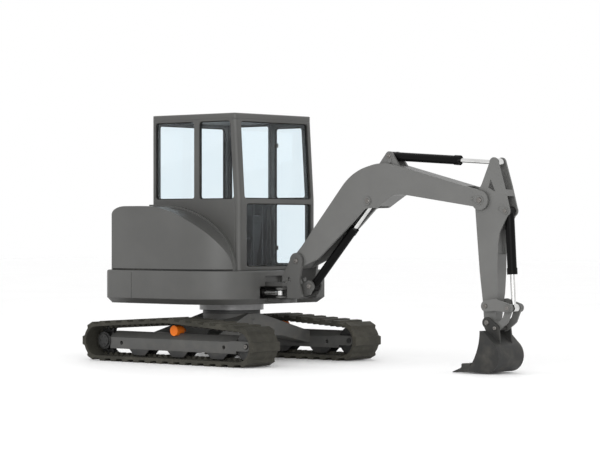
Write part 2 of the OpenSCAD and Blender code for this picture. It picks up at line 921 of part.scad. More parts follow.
module cab_roof() {
    x0 = cab_x0;
    x1 = cab_x1 - cab_lean;
    r = roof_r;
    color([0.31, 0.31, 0.31])
        placed()
            intersection() {
                translate([0, 0, cab_zw])
                    linear_extrude(height = roof_t)
                        polygon(rounded([[x0, cab_y0, cab_r], [x1, cab_y0, cab_r],
                            [x1, cab_y1, cab_r], [x0, cab_y1, cab_r]]));
                slab(cab_y1 - cab_y0 + 2, (cab_y0 + cab_y1) / 2)
                    polygon(rounded([[x0, cab_zw - 1, 0], [x1, cab_zw - 1, 0], [x1, cab_top, r],
                        [x0, cab_top, r]]));
                across(x0 - 1, x1 + 1)
                    polygon(rounded([[cab_y0, cab_zw - 1, 0], [cab_y1, cab_zw - 1, 0],
                        [cab_y1, cab_top, r], [cab_y0, cab_top, r]]));
            }
}

// Fixed panes, each in the middle of its wall
module cab_glass() {
    m = (screen_t + glass_t) / 2;
    color([0.75, 0.85, 0.9, 0.4])
        placed() {
            intersection() {
                translate([cab_x1, 0, sill_z])
                    rotate([0, -lean_a, 0])
                        translate([-m, cab_y0, -screen_t])
                            cube([glass_t, cab_y1 - cab_y0, cab_top]);
                across(0, 2 * cab_x1)
                    polygon(high_pane);
            }
            across(cab_x1 - m, cab_x1 - m + glass_t)
                polygon(low_pane);
            slab(glass_t, cab_y0 + wall_t / 2) {
                rear_window();
                right_window();
            }
            slab(glass_t, cab_y1 - wall_t / 2)
                rear_window();
            across(cab_x0 + (wall_t - glass_t) / 2, cab_x0 + (wall_t + glass_t) / 2)
                polygon(rear_pane);
        }
}

// Door between the side post and the windscreen frame, with an upper and a lower pane
module door_line(in, z0, z1, r) {
    front_window(mid_post_x + door_gap + in, z0, z1, door_gap + in, r);
}

module door_panes() {
    frame_w = 46;
    bar_z = sill_z - 30;
    door_line(frame_w, platform_z1 + door_gap + frame_w, bar_z, pane_r);
    door_line(frame_w, bar_z + frame_w, cab_zw - door_gap - frame_w, pane_r);
}

module door() {
    handle = [cab_x1 - screen_t - 34, cab_y1 + 26];
    color([0.3, 0.3, 0.3])
        placed() {
            slab(wall_t, cab_y1 - wall_t / 2)
                difference() {
                    door_line(0, platform_z1 + door_gap, cab_zw - door_gap, 0);
                    door_panes();
                }
            translate([handle[0], handle[1], sill_z - 260])
                cylinder(r = 10, h = 200);
            for (z = [sill_z - 235, sill_z - 85])
                translate([handle[0], cab_y1 - 1, z])
                    rotate([-90, 0, 0])
                        cylinder(r = 8, h = 27);
            for (z = door_hinge_z)
                hinge_moving(door_hinge, z, [0, -15, 0], [60, 9]);
        }
}

module door_glass() {
    color([0.75, 0.85, 0.9, 0.4])
        placed()
            slab(glass_t, cab_y1 - wall_t / 2)
                door_panes();
}

seat_x = cab_x0 + 370;
seat_y = (cab_y0 + cab_y1) / 2;

module seat_base() {
    z = platform_z1;
    color([0.12, 0.12, 0.12])
        placed() {
            slab(380, seat_y)
                polygon(rounded([[seat_x - 190, z, 0], [seat_x + 210, z, 0], [seat_x + 150, z + 300, 0],
                    [seat_x - 190, z + 300, 0]]));
            slab(460, seat_y)
                polygon(rounded([[seat_x - 230, z + 300, 14], [seat_x + 250, z + 300, 14],
                    [seat_x + 250, z + 330, 14], [seat_x - 230, z + 330, 14]]));
        }
}

module seat_cushions() {
    color([0.1, 0.1, 0.1])
        placed() {
            translate([seat_x - 180, seat_y - 225, platform_z1 + 330])
                cube([430, 450, 90]);
            translate([seat_x - 250, seat_y - 225, platform_z1 + 330])
                cube([68, 450, 340]);
        }
}

// Side consoles with levers, and travel levers in front
module controls() {
    z = platform_z1;
    lever_x = seat_x + 230;
    pedal_x = seat_x + 490;
    color([0.14, 0.14, 0.14])
        placed()
            for (s = [-1, 1]) {
                y = seat_y + s * 310;
                slab(120, y)
                    polygon(rounded([[seat_x - 150, z, 0], [seat_x + 210, z, 60], [lever_x + 60, z + 480, 40],
                        [lever_x + 40, z + 560, 40], [seat_x - 150, z + 540, 60]]));
                translate([lever_x, y, z + 540])
                    cylinder(r = 12, h = 150);
                translate([lever_x, y, z + 690])
                    sphere(r = 24);
                translate([seat_x + 560, seat_y + s * 70, z])
                    cylinder(r = 11, h = 640);
                slab(120, seat_y + s * 140)
                    polygon(rounded([[pedal_x, z, 0], [pedal_x + 140, z, 0], [pedal_x + 140, z + 50, 12],
                        [pedal_x, z + 26, 12]]));
            }
}

// Swing post

module king_post() {
    w = boom_w + 2 * side_gap;
    back = swing_x + post_r + 20;
    eye = [swing_eye_x - swing_x, -swing_cyl_y];
    color([0.3, 0.3, 0.3])
        placed()
            difference() {
                union() {
                    translate([swing_x, 0, post_z0])
                        cylinder(r = post_r, h = post_z1 - post_z0);
                    translate([swing_x, -post_r, post_z0])
                        cube([post_r + 60, 2 * post_r, post_z1 - post_z0]);
                    translate([back, -w / 2 - 26, post_z0])
                        cube([80, w + 52, post_z1 - post_z0]);
                    for (s = [-1, 1]) {
                        slab(26, s * (w / 2 + 13)) {
                            polygon(rounded([[back, post_z0, 0], [lift_base[0] - 30, post_z0, 40],
                                by(lift_base, [-80, 40], 150), by(foot, [72, -36]), by(foot, [0, 30]),
                                by(foot, [-78, 8]), [swing_x + 44, post_z1 + 112, 30],
                                [back, post_z1 + 64, 60]]));
                            translate(foot)
                                circle(r = 80);
                        }
                        slab(22, s * (lift_barrel_r + side_gap + 17)) {
                            polygon([[back + 40, post_z0], [lift_base[0] + 10, post_z0 + 40],
                                lift_base + [57, -12], lift_base + [0, 57], [back + 40, post_z1]]);
                            translate(lift_base)
                                circle(r = 58);
                        }
                        translate([swing_x, 0, s < 0 ? post_z0 + 4 : post_z1 - 24])
                            linear_extrude(height = 20)
                                strap([0, 0], eye, post_r - 8, 42);
                    }
                }
                translate([swing_x, 0, post_z0 - 1])
                    cylinder(r = swing_pin_r + pin_gap, h = post_z1 - post_z0 + 2);
                bar(foot, boom_pin_r + pin_gap, 2 * boom_w);
                bar(lift_base, boom_pin_r + pin_gap, 2 * boom_w);
                bar([swing_x + 132, post_z1 + 79], 24, 2 * boom_w);
            }
}

// Swing pin, boom foot pin and lower pin of the boom cylinder
module king_pins() {
    color([0.62, 0.62, 0.62])
        placed() {
            translate([swing_x, 0, post_z0 - 46])
                cylinder(r = swing_pin_r, h = post_z1 - post_z0 + 92);
            translate([swing_x, 0, post_z1 + 46])
                cylinder(r = swing_pin_r + 14, h = 10);
            bar(foot, boom_pin_r, boom_w + 2 * side_gap + 64);
            bar(lift_base, boom_pin_r, 2 * lift_barrel_r + 2 * side_gap + 60);
        }
}

module swing_barrel() {
    color([0.05, 0.05, 0.05])
        placed()
            translate([swing_eye_x - swing_back, -swing_cyl_y, (post_z0 + post_z1) / 2])
                rotate([0, 90, 0])
                    difference() {
                        cylinder(r = swing_barrel_r, h = swing_back - 210);
                        translate([0, 0, 60])
                            cylinder(r = swing_barrel_r - 18 + pin_gap, h = swing_back);
                    }
}

module swing_rod() {
    zm = (post_z0 + post_z1) / 2;
    color([0.85, 0.85, 0.86])
        placed() {
            translate([swing_eye_x - swing_back + 232, -swing_cyl_y, zm])
                rotate([0, 90, 0])
                    cylinder(r = swing_barrel_r - 18, h = swing_back - 252);
            translate([swing_eye_x, -swing_cyl_y, zm - 22])
                cylinder(r = 34, h = 44);
        }
}

// Boom

// Side outline of the boom
module boom_line() {
    translate(foot)
        circle(r = 76);
    translate(tip)
        circle(r = 92);
    polygon(rounded([
        by(foot, [-70, 30]), by(foot, [46, 142], 60), by(foot, [688, 870], 600),
        by(crowd_base, [-59, -49], 600), by(tip, [0, 92]), by(tip, [30, 0]), by(tip, [-10, -90]),
        by(tip, [-60, -58], 60), by(tip, [-900, 62], 300), by(tip, [-1010, 62], 110),
        by(lift_eye, [110, -68], 60), by(lift_eye, [-40, -70], 70), by(foot, [660, 350], 300),
        by(foot, [254, 20], 160), by(foot, [30, -70])]));
}

// Hollow under the boom that the boom cylinder swings through
module lift_hollow() {
    r = lift_barrel_r + 12;
    for (t = [lift_low, lift_high])
        strap(lift_at(t, 0), lift_at(t, lift_len + lift_stroke * t), r, r);
    polygon([foot + [230, -60], foot + [230, 130], foot + [560, 420],
        lift_eye + [-150, 60], lift_eye + [30, 150], lift_eye + [120, 90],
        lift_eye + [150, -20], lift_eye + [90, -160], foot + [700, 280]]);
}

module boom() {
    color([0.45, 0.45, 0.44])
        placed()
            difference() {
                union() {
                    slab(boom_w)
                        boom_line();
                    for (s = [-1, 1])
                        slab(24, s * (crowd_barrel_r + side_gap + 12)) {
                            translate(crowd_base)
                                circle(r = 46);
                            polygon([crowd_base + [-170, -130], crowd_base + [-34, 30],
                                crowd_base + [34, 30], crowd_base + [150, -130]]);
                        }
                    for (s = [-1, 1])
                        bar(lift_eye, 42, 12, s * (boom_w / 2 + 5));
                }
                slab(2 * boom_in)
                    lift_hollow();
                slab(stick_w + 2 * side_gap) {
                    translate(tip)
                        circle(r = fork_r);
                }
                bar(foot, boom_pin_r + pin_gap, 2 * boom_w);
                bar(tip, boom_pin_r + pin_gap, 2 * boom_w);
                bar(crowd_base, boom_pin_r - 4 + pin_gap, 2 * boom_w);
            }
}

// Boom tip pin and base pin of the stick cylinder
module boom_pins() {
    color([0.62, 0.62, 0.62])
        placed() {
            bar(tip, boom_pin_r, boom_w + 24);
            bar(crowd_base, boom_pin_r - 4, 2 * crowd_barrel_r + 2 * side_gap + 64);
        }
}

// Cylinders, each barrel with a base eye and each rod with an end eye

module barrel(a, b, r, rod_r, len, pin_r, w, tail = 0) {
    difference() {
        union() {
            shaft(a, b, r - 4, -tail, 60);
            shaft(a, b, r, 40, len);
            shaft(a, b, r + 5, len - 60, len);
            bar(a, pin_r + 20, w);
        }
        shaft(a, b, rod_r + pin_gap, 90, len + 1);
        bar(a, pin_r + pin_gap, w + 2);
    }
}

module rod(a, b, r, l0, eye_r, w) {
    shaft(a, b, r, l0, norm(b - a) - eye_r + 6);
    bar(b, eye_r, w);
}

module lift_barrel() {
    color([0.05, 0.05, 0.05])
        placed()
            barrel(lift_base, lift_eye, lift_barrel_r, lift_rod_r, 0.6875 * lift_len, boom_pin_r,
                2 * lift_barrel_r - 4, 68);
}

module lift_rod() {
    color([0.85, 0.85, 0.86])
        placed()
            rod(lift_base, lift_eye, lift_rod_r, 380, 42, 64);
}

module crowd_barrel() {
    color([0.05, 0.05, 0.05])
        placed()
            barrel(crowd_base, crowd_eye, crowd_barrel_r, crowd_rod_r, 0.648 * norm(crowd_eye - crowd_base),
                boom_pin_r - 4,
                2 * crowd_barrel_r - 4);
}

module crowd_rod() {
    color([0.85, 0.85, 0.86])
        placed()
            rod(crowd_base, crowd_eye, crowd_rod_r, 460, 40, 70);
}

module curl_barrel() {
    color([0.05, 0.05, 0.05])
        placed()
            barrel(curl_base, curl_eye, curl_barrel_r, curl_rod_r, 0.655 * norm(curl_eye - curl_base),
                link_pin_r, 2 * curl_barrel_r - 4);
}

module curl_rod() {
    color([0.85, 0.85, 0.86])
        placed()
            rod(curl_base, curl_eye, curl_rod_r, 320, 38, 70);
}

// Stick

module stick_line() {
    translate(tip)
        circle(r = 88);
    translate(bucket_pin)
        circle(r = 62);
    translate(crowd_eye)
        circle(r = 48);
    translate(curl_base)
        circle(r = 52);
    polygon(rounded([
        by(crowd_eye, [-48, 0]), by(tip, [0, 143], 100), by(tip, [-60, 64], 40), by(tip, [-72, -50], 200),
        by(bucket_pin, [-62, 0]), by(bucket_pin, [62, 20]), by(rock_pin, [110, 120], 200),
        by(tip, [190, -400], 150), by(tip, [210, -290], 60), by(curl_base, [24, -46]),
        by(curl_base, [52, 0]), by(crowd_eye, [120, -220], 160), by(crowd_eye, [46, 14])]));
}

// Stick, drawn in on both sides towards the bucket
module stick() {
    taper_z = rock_pin[1] + 60;
    side_y = stick_w / 2 + 1;
    color([0.45, 0.45, 0.44])
        placed()
            difference() {
                union() {
                    intersection() {
                        slab(stick_w)
                            stick_line();
                        across(0, 2 * tip_x)
                            polygon([[-nose_y, 0], [nose_y, 0], [nose_y, taper_z], [side_y, taper_z + 270],
                                [side_y, 2 * tip_z], [-side_y, 2 * tip_z], [-side_y, taper_z + 270],
                                [-nose_y, taper_z]]);
                    }
                    bar(rock_pin, 46, 2 * ear_y0 - 4);
                }
                slab(2 * stick_in) {
                    polygon([crowd_eye + [-200, 120], tip + [-30, 120], tip + [120, 130],
                        tip + [250, 60], crowd_eye + [300, 120]]);
                    polygon([tip + [115, 20], tip + [210, 30], tip + [500, 60], tip + [500, -500],
                        tip + [165, -500], tip + [150, -260]]);
                }
                slab(2 * stick_w)
                    polygon([tip + [105, 195], tip + [78, 115], tip + [160, 78]]);
                bar(tip, boom_pin_r + pin_gap, 2 * stick_w);
                bar(curl_base, link_pin_r + pin_gap, 2 * stick_w);
                bar(rock_pin, link_pin_r + pin_gap, 3 * stick_w);
                bar(bucket_pin, link_pin_r + 3 + pin_gap, 2 * stick_w);
            }
}

// Base pin of the bucket cylinder, rocker pin and bucket pin
module stick_pins() {
    color([0.62, 0.62, 0.62])
        placed() {
            bar(curl_base, link_pin_r, stick_w + 16);
            bar(rock_pin, link_pin_r, 2 * (ear_y0 + ear_t) + 12);
            bar(bucket_pin, link_pin_r + 3, 2 * (ear_y0 + ear_t) + 12);
        }
}

// Bucket linkage

module rocker() {
    hump = rock_pin + 0.42 * (curl_eye - rock_pin) + [0, 20];
    color([0.45, 0.45, 0.44])
        placed()
            difference() {
                for (s = [-1, 1]) {
                    slab(ear_t, s * (ear_y0 + ear_t / 2)) {
                        strap(rock_pin, hump, 50, 56);
                        strap(hump, curl_eye, 56, 40);
                    }
                    bar(curl_eye, link_pin_r + 8, 12, s * (ear_y0 + ear_t + 5));
                }
                bar(rock_pin, link_pin_r + pin_gap, 4 * stick_w);
            }
}

// Two curved plates from the rocker to the bucket
module link() {
    bow = (curl_eye + link_pin) / 2 + [26, -20];
    color([0.45, 0.45, 0.44])
        placed()
            difference() {
                for (s = [-1, 1])
                    slab(link_t, s * (link_y0 + link_t / 2)) {
                        strap(curl_eye, bow, 38, 34);
                        strap(bow, link_pin, 34, 34);
                    }
                bar(link_pin, link_pin_r + pin_gap, 4 * stick_w);
            }
}

// Bucket

mouth = [bucket_pin[0] - 10, bucket_pin[1] - 74];
lip = [bucket_pin[0] - 125, 60];
lip_low = [bucket_pin[0] - 150, 14];

// Hollow front edge of the side plates, from the mouth down to the lip
mouth_r = ((mouth[0] - lip[0]) * (mouth[0] - lip[0]) + (mouth[1] - lip[1]) * (mouth[1] - lip[1]))
    / (2 * (mouth[0] - lip[0]));
mouth_a = asin((mouth[1] - lip[1]) / mouth_r);
back_a = 52;

module bucket_line() {
    polygon([each arc(mouth - [mouth_r, 0], mouth_r, 0, -mouth_a, 16), lip_low,
        each arc(bucket_c, bucket_r, -90, back_a, 24), mouth + [62, -22]]);
}

module bucket_inside() {
    t = bucket_t;
    polygon([mouth + [-60, -16], mouth + [-300, -226], lip_low + [-20, t],
        each arc(bucket_c, bucket_r - t, -90, back_a, 24), mouth + [52, -40]]);
}

module bucket() {
    color([0.27, 0.27, 0.26])
        placed()
            difference() {
                union() {
                    difference() {
                        slab(bucket_w)
                            bucket_line();
                        slab(bucket_w - 2 * bucket_t)
                            bucket_inside();
                    }
                    for (s = [-1, 1])
                        slab(ear_t, s * (ear_y0 + ear_t / 2)) {
                            strap(bucket_pin, link_pin, 50, 40);
                            polygon([bucket_pin + [-46, -10], mouth + [2, -6], mouth + [58, -34],
                                bucket_c + bucket_r * [cos(50), sin(50)], link_pin + [40, 0]]);
                        }
                    bar(link_pin, link_pin_r, 2 * (ear_y0 + ear_t) + 12);
                }
                bar(bucket_pin, link_pin_r + 3 + pin_gap, 4 * stick_w);
            }
}

// Teeth set on the bucket lip
module bucket_teeth() {
    step = (bucket_w - tooth_w) / (tooth_count - 1);
    root = lip_low + [-68, 0];
    color([0.3, 0.3, 0.3])
        placed()
            for (i = [0 : tooth_count - 1])
                slab(tooth_w, -bucket_w / 2 + tooth_w / 2 + i * step)
                    polygon(rounded([by(lip_low, [0, 0]), by(lip_low, [-tooth_len, -10], 3),
                        by(lip_low, [-tooth_len, -2], 3), by(root, [0, 38], 20), by(root, [0, 78], 14),
                        by(lip, [13, 36]), by(lip, [0, 0])]));
}

car_body();
track_frame_R();
track_frame_L();
track_R();
track_L();
sprockets();
idlers();
bottom_rollers();
carrier_rollers();
slew_ring_lower();
slew_ring_upper();
platform();
counterweight();
hood();
engine_block();
engine_door();
cab_front();
cab_right();
cab_rear();
cab_left();
cab_roof();
cab_glass();
seat_base();
seat_cushions();
controls();
door();
door_glass();
king_post();
king_pins();
swing_barrel();
swing_rod();
boom();
boom_pins();
lift_barrel();
lift_rod();
stick();
stick_pins();
crowd_barrel();
crowd_rod();
curl_barrel();
curl_rod();
rocker();
link();
bucket();
bucket_teeth();
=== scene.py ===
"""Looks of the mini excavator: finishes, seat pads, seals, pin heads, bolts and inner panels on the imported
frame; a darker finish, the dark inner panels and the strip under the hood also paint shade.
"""

import json
import math

import bmesh
import bpy
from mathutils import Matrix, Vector


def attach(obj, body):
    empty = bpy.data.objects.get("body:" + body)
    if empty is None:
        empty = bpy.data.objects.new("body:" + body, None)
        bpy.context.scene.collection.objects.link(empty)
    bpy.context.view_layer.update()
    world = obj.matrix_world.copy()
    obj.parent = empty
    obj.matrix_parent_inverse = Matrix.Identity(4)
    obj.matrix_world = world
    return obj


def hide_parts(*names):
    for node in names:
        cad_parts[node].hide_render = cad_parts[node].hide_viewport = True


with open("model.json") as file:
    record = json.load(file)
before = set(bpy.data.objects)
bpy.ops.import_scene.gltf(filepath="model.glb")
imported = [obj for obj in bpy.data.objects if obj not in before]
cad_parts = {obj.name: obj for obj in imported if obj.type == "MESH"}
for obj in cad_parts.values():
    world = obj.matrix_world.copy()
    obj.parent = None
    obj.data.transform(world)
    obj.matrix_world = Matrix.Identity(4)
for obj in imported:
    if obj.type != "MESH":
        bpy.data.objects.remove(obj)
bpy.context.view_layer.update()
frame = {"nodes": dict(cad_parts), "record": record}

NODES = frame["nodes"]
BODY_OF = {n: b for b, members in frame["record"]["behaviour"]["bodies"].items() for n in members}

# Camera: place and heading worked out from the photograph's vanishing lines, in metres and degrees
CAMERA_AT = (14.6885, -17.380, 1.356)
CAMERA_TURN = (89.825, 0.0, 40.73)
LENS_MM = 138.4
SENSOR_MM = 36.0

# Base colours, linear
BODY_GREY = (0.072, 0.072, 0.069)
CAB_GREY = (0.062, 0.062, 0.059)
ARM_GREY = (0.112, 0.112, 0.108)
FRAME_GREY = (0.090, 0.090, 0.086)
BUCKET_GREY = (0.026, 0.026, 0.025)
RUBBER_BLACK = (0.0300, 0.0285, 0.0225)
ORANGE = (0.90, 0.195, 0.010)
BLACK = (0.004, 0.004, 0.004)
STEEL = (0.20, 0.19, 0.18)
EARTH = (0.16, 0.145, 0.12)
TRACK_DUST = (0.10, 0.09, 0.07)
PALE_GLASS = (0.885, 0.940, 0.967)
DUSTY_GLASS = (0.862, 0.925, 0.955)

# Heights in metres between which splashed earth fades out
EARTH_TOP, EARTH_FULL = 0.9, 0.05


# Node helpers

class Shader:
    """One material with a principled shader, and short calls for the nodes that feed it."""

    def __init__(self, name):
        self.material = bpy.data.materials.new(name)
        self.material.use_nodes = True
        self.tree = self.material.node_tree
        self.shader = self.tree.nodes["Principled BSDF"]
        self.place = self.add("ShaderNodeTexCoord").outputs["Object"]

    def add(self, kind, **settings):
        node = self.tree.nodes.new(kind)
        for key, value in settings.items():
            setattr(node, key, value)
        return node

    def link(self, source, target):
        self.tree.links.new(source, target)
        return source

    def feed(self, source, socket):
        return self.link(source, self.shader.inputs[socket])

    def set(self, **values):
        for key, value in values.items():
            self.shader.inputs[key.replace("_", " ")].default_value = value
        return self

    def stretched(self, scale):
        node = self.add("ShaderNodeMapping")
        node.inputs["Scale"].default_value = scale
        self.link(self.place, node.inputs["Vector"])
        return node.outputs["Vector"]

    def noise(self, scale, detail=4.0, rough=0.55, vector=None):
        node = self.add("ShaderNodeTexNoise")
        node.inputs["Scale"].default_value = scale
        node.inputs["Detail"].default_value = detail
        node.inputs["Roughness"].default_value = rough
        self.link(vector or self.place, node.inputs["Vector"])
        return node.outputs["Fac"]

    def ramp(self, fac, low, high, start=0.0, end=1.0):
        node = self.add("ShaderNodeMapRange")
        node.inputs["From Min"].default_value = low
        node.inputs["From Max"].default_value = high
        node.inputs["To Min"].default_value = start
        node.inputs["To Max"].default_value = end
        self.link(fac, node.inputs["Value"])
        return node.outputs["Result"]

    def mix(self, fac, a, b):
        node = self.add("ShaderNodeMix", data_type="RGBA")
        self.link(fac, node.inputs["Factor"])
        for value, socket in ((a, node.inputs[6]), (b, node.inputs[7])):
            if isinstance(value, tuple):
                socket.default_value = (*value, 1.0)
            else:
                self.link(value, socket)
        return node.outputs[2]

    def times(self, a, b):
        node = self.add("ShaderNodeMath", operation="MULTIPLY")
        self.link(a, node.inputs[0])
        if isinstance(b, float):
            node.inputs[1].default_value = b
        else:
            self.link(b, node.inputs[1])
        return node.outputs[0]

    def edge(self, radius):
        """Normal rounded at sharp edges, and how far it departs from the flat one there."""
        bevel = self.add("ShaderNodeBevel", samples=6)
        bevel.inputs["Radius"].default_value = radius
        plain = self.add("ShaderNodeNewGeometry").outputs["Normal"]
        dot = self.add("ShaderNodeVectorMath", operation="DOT_PRODUCT")
        self.link(bevel.outputs["Normal"], dot.inputs[0])
        self.link(plain, dot.inputs[1])
        return bevel.outputs["Normal"], self.ramp(dot.outputs["Value"], 1.0, 0.75)

    def bump(self, height, distance, strength=1.0, normal=None):
        node = self.add("ShaderNodeBump")
        node.inputs["Distance"].default_value = distance
        node.inputs["Strength"].default_value = strength
        self.link(height, node.inputs["Height"])
        if normal:
            self.link(normal, node.inputs["Normal"])
        return node.outputs["Normal"]


def shade(colour, k):
    return tuple(min(1.0, c * k) for c in colour)


def paint(name, colour, gloss=0.42, wear=0.35, edge=0.006, dust=0.25, shine=0.5):
    """Sprayed paint: faint mottling, orange peel, dull patches, rubbed edges and dust low down."""
    s = Shader(name).set(Specular_IOR_Level=shine)
    normal, rim = s.edge(edge)
    patch = s.noise(2.2, 5.0)
    base = s.mix(s.ramp(patch, 0.35, 0.65), shade(colour, 0.93), shade(colour, 1.07))
    chips = s.times(rim, s.ramp(s.noise(38.0, 6.0), 0.42, 0.62))
    base = s.mix(s.times(chips, wear), base, shade(colour, 2.1))
    height = s.add("ShaderNodeSeparateXYZ")
    s.link(s.place, height.inputs[0])
    low = s.ramp(height.outputs["Z"], EARTH_TOP, EARTH_FULL)
    dirt = s.times(low, s.ramp(s.noise(9.0, 7.0), 0.45, 0.75))
    base = s.mix(s.times(dirt, dust), base, EARTH)
    s.feed(base, "Base Color")
    s.feed(s.ramp(s.noise(7.0, 6.0), 0.3, 0.7, gloss - 0.02, gloss + 0.04), "Roughness")
    s.feed(s.bump(s.noise(520.0, 2.0), 0.0004, 0.25, normal), "Normal")
    return s.material


def steel(name, colour, gloss=0.3, grain=(4.0, 220.0, 4.0), edge=0.003):
    """Bare metal with a drawn grain and faint smears."""
    s = Shader(name).set(Metallic=1.0)
    normal, _ = s.edge(edge)
    lines = s.noise(6.0, 3.0, 0.6, s.stretched(grain))
    base = s.mix(s.ramp(s.noise(11.0, 5.0), 0.35, 0.65), shade(colour, 0.86), shade(colour, 1.1))
    s.feed(base, "Base Color")
    s.feed(s.ramp(lines, 0.3, 0.7, gloss - 0.05, gloss + 0.09), "Roughness")
    s.feed(s.bump(lines, 0.0003, 0.2, normal), "Normal")
    return s.material


def rubber(name, colour):
    """Moulded rubber, dusty in patches, with a scuffed grain."""
    s = Shader(name).set(Specular_IOR_Level=0.3)
    normal, rim = s.edge(0.006)
    base = s.mix(s.ramp(s.noise(6.0, 7.0), 0.35, 0.7), colour, shade(colour, 1.6))
    dust = s.times(s.ramp(s.noise(2.5, 6.0), 0.45, 0.7), s.ramp(s.noise(60.0, 4.0), 0.4, 0.7))
    base = s.mix(s.times(dust, 0.5), base, TRACK_DUST)
    base = s.mix(s.times(rim, 0.3), base, shade(colour, 2.4))
    s.feed(base, "Base Color")
    s.feed(s.ramp(s.noise(30.0, 5.0), 0.3, 0.7, 0.68, 0.92), "Roughness")
    s.feed(s.bump(s.noise(160.0, 6.0), 0.002, 0.35, normal), "Normal")
    return s.material


def plastic(name, colour, gloss=0.55):
    """Moulded plastic with a fine leather grain."""
    s = Shader(name)
    normal, _ = s.edge(0.004)
    cells = s.add("ShaderNodeTexVoronoi")
    cells.inputs["Scale"].default_value = 420.0
    s.link(s.place, cells.inputs["Vector"])
    s.feed(s.mix(s.ramp(s.noise(5.0), 0.35, 0.65), shade(colour, 0.85), shade(colour, 1.2)), "Base Color")
    s.feed(s.ramp(s.noise(14.0), 0.3, 0.7, gloss - 0.06, gloss + 0.1), "Roughness")
    s.feed(s.bump(cells.outputs["Distance"], 0.0006, 0.35, normal), "Normal")
    return s.material


def fabric(name, colour):
    """Woven seat cloth: two crossed thread waves, fuzz and a soft sheen."""
    s = Shader(name).set(Sheen_Weight=0.35, Sheen_Roughness=0.5)
    threads = []
    for direction in ("X", "Z"):
        wave = s.add("ShaderNodeTexWave", bands_direction=direction)
        wave.inputs["Scale"].default_value = 190.0
        wave.inputs["Distortion"].default_value = 0.8
        s.link(s.place, wave.inputs["Vector"])
        threads.append(wave.outputs["Fac"])
    weave = s.times(*threads)
    tone = s.mix(s.ramp(s.noise(9.0, 6.0), 0.3, 0.7), shade(colour, 0.7), shade(colour, 1.4))
    s.feed(s.mix(s.times(weave, 0.5), tone, shade(colour, 2.2)), "Base Color")
    s.feed(s.ramp(s.noise(40.0), 0.3, 0.7, 0.82, 0.98), "Roughness")
    s.feed(s.bump(weave, 0.0012, 0.5), "Normal")
    return s.material


def glass(name):
    """Pale blue safety glass with a faint dust film and weak reflections, as in the photograph."""
    s = Shader(name).set(Transmission_Weight=1.0, IOR=1.22, Specular_IOR_Level=0.2)
    s.feed(s.add("ShaderNodeNewGeometry").outputs["True Normal"], "Normal")
    film = s.noise(3.0, 7.0)
    s.feed(s.mix(s.ramp(film, 0.3, 0.7), DUSTY_GLASS, PALE_GLASS), "Base Color")
    s.feed(s.ramp(film, 0.45, 0.8, 0.0, 0.05), "Roughness")
    return s.material


MATERIALS = {
    "body_paint": paint("body_paint", BODY_GREY),
    "cab_paint": paint("cab_paint", CAB_GREY, wear=0.2, edge=0.018),
    "dark_paint": paint("dark_paint", FRAME_GREY, gloss=0.5, wear=0.5, dust=0.5),
    "arm_paint": paint("arm_paint", ARM_GREY, gloss=0.4),
    "orange_paint": paint("orange_paint", ORANGE, gloss=0.45, wear=0.2, dust=0.1, shine=0.2),
    "bucket_steel": paint("bucket_steel", BUCKET_GREY, gloss=0.5, wear=0.9, dust=0.22, shine=0.25),
    "cylinder_black": paint("cylinder_black", BLACK, gloss=0.3, wear=0.25, edge=0.003, dust=0.1,
                            shine=0.07),
    "black_steel": paint("black_steel", (0.02, 0.02, 0.02), gloss=0.45, wear=0.6),
    "dark_steel": steel("dark_steel", (0.075, 0.075, 0.074), 0.5),
    "ring_steel": steel("ring_steel", (0.20, 0.20, 0.20), 0.36, (2.0, 2.0, 160.0)),
    "pin_steel": steel("pin_steel", STEEL, 0.28),
    "rod_chrome": steel("rod_chrome", (0.66, 0.66, 0.65), 0.1, (60.0, 60.0, 60.0)),
    "engine_iron": steel("engine_iron", (0.10, 0.10, 0.10), 0.5),
    "track_rubber": rubber("track_rubber", RUBBER_BLACK),
    "black_plastic": plastic("black_plastic", (0.022, 0.022, 0.023)),
    "seat_fabric": fabric("seat_fabric", (0.020, 0.021, 0.023)),
    "window_glass": glass("window_glass"),
    "seal_rubber": rubber("seal_rubber", (0.011, 0.011, 0.011)),
}


# Nodes in the shade of their neighbours, with a darker finish than their slot that paints this shade on
PAINTED_SHADE_FINISH_OF = {"slew_ring_lower": "dark_steel"}


def finish_nodes():
    """Each node takes the finish of the slot that the record gives it, or a darker one that paints the shade it
    lies in.
    """
    for entry in frame["record"]["subparts"]:
        mesh = NODES[entry["node"]].data
        mesh.materials.clear()
        # A darker finish here is painted shade, for a node in its neighbours' shade
        mesh.materials.append(MATERIALS[PAINTED_SHADE_FINISH_OF.get(entry["node"], entry["material_slot"])])


finish_nodes()


# Pieces

# Way from the slew axis to the frame's origin along X, in metres
SHIFT = 1.1975


def at(x, y, z):
    """Point given in millimetres from the slew axis."""
    return Vector((x / 1000.0 - SHIFT, y / 1000.0, z / 1000.0))


def piece(name, bm, slot, body, sharp=35.0):
    """New object from a bmesh, finished by a slot and moving with a body."""
    bmesh.ops.recalc_face_normals(bm, faces=bm.faces)
    mesh = bpy.data.meshes.new(name)
    bm.to_mesh(mesh)
    bm.free()
    mesh.materials.append(MATERIALS[slot])
    mesh.polygons.foreach_set("use_smooth", [True] * len(mesh.polygons))
    mesh.set_sharp_from_angle(angle=math.radians(sharp))
    made = bpy.data.objects.new(name, mesh)
    bpy.context.scene.collection.objects.link(made)
    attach(made, body)
    return made


def turned(bm, centre, axis, profile, steps=24):
    """Solid of revolution from (radius, height) pairs that start and end on the axis."""
    turn = Vector(axis).to_track_quat("Z", "Y").to_matrix()
    rings = []
    for r, h in profile:
        count = steps if r else 1
        angles = [2.0 * math.pi * k / steps for k in range(count)]
        rings.append([bm.verts.new(centre + turn @ Vector((r * math.cos(a), r * math.sin(a), h)))
                      for a in angles])
    for low, high in zip(rings, rings[1:]):
        for k in range(steps):
            n = (k + 1) % steps
            quad = (low[k % len(low)], low[n % len(low)], high[n % len(high)], high[k % len(high)])
            corners = list(dict.fromkeys(quad))
            if len(corners) > 2:
                bm.faces.new(corners)


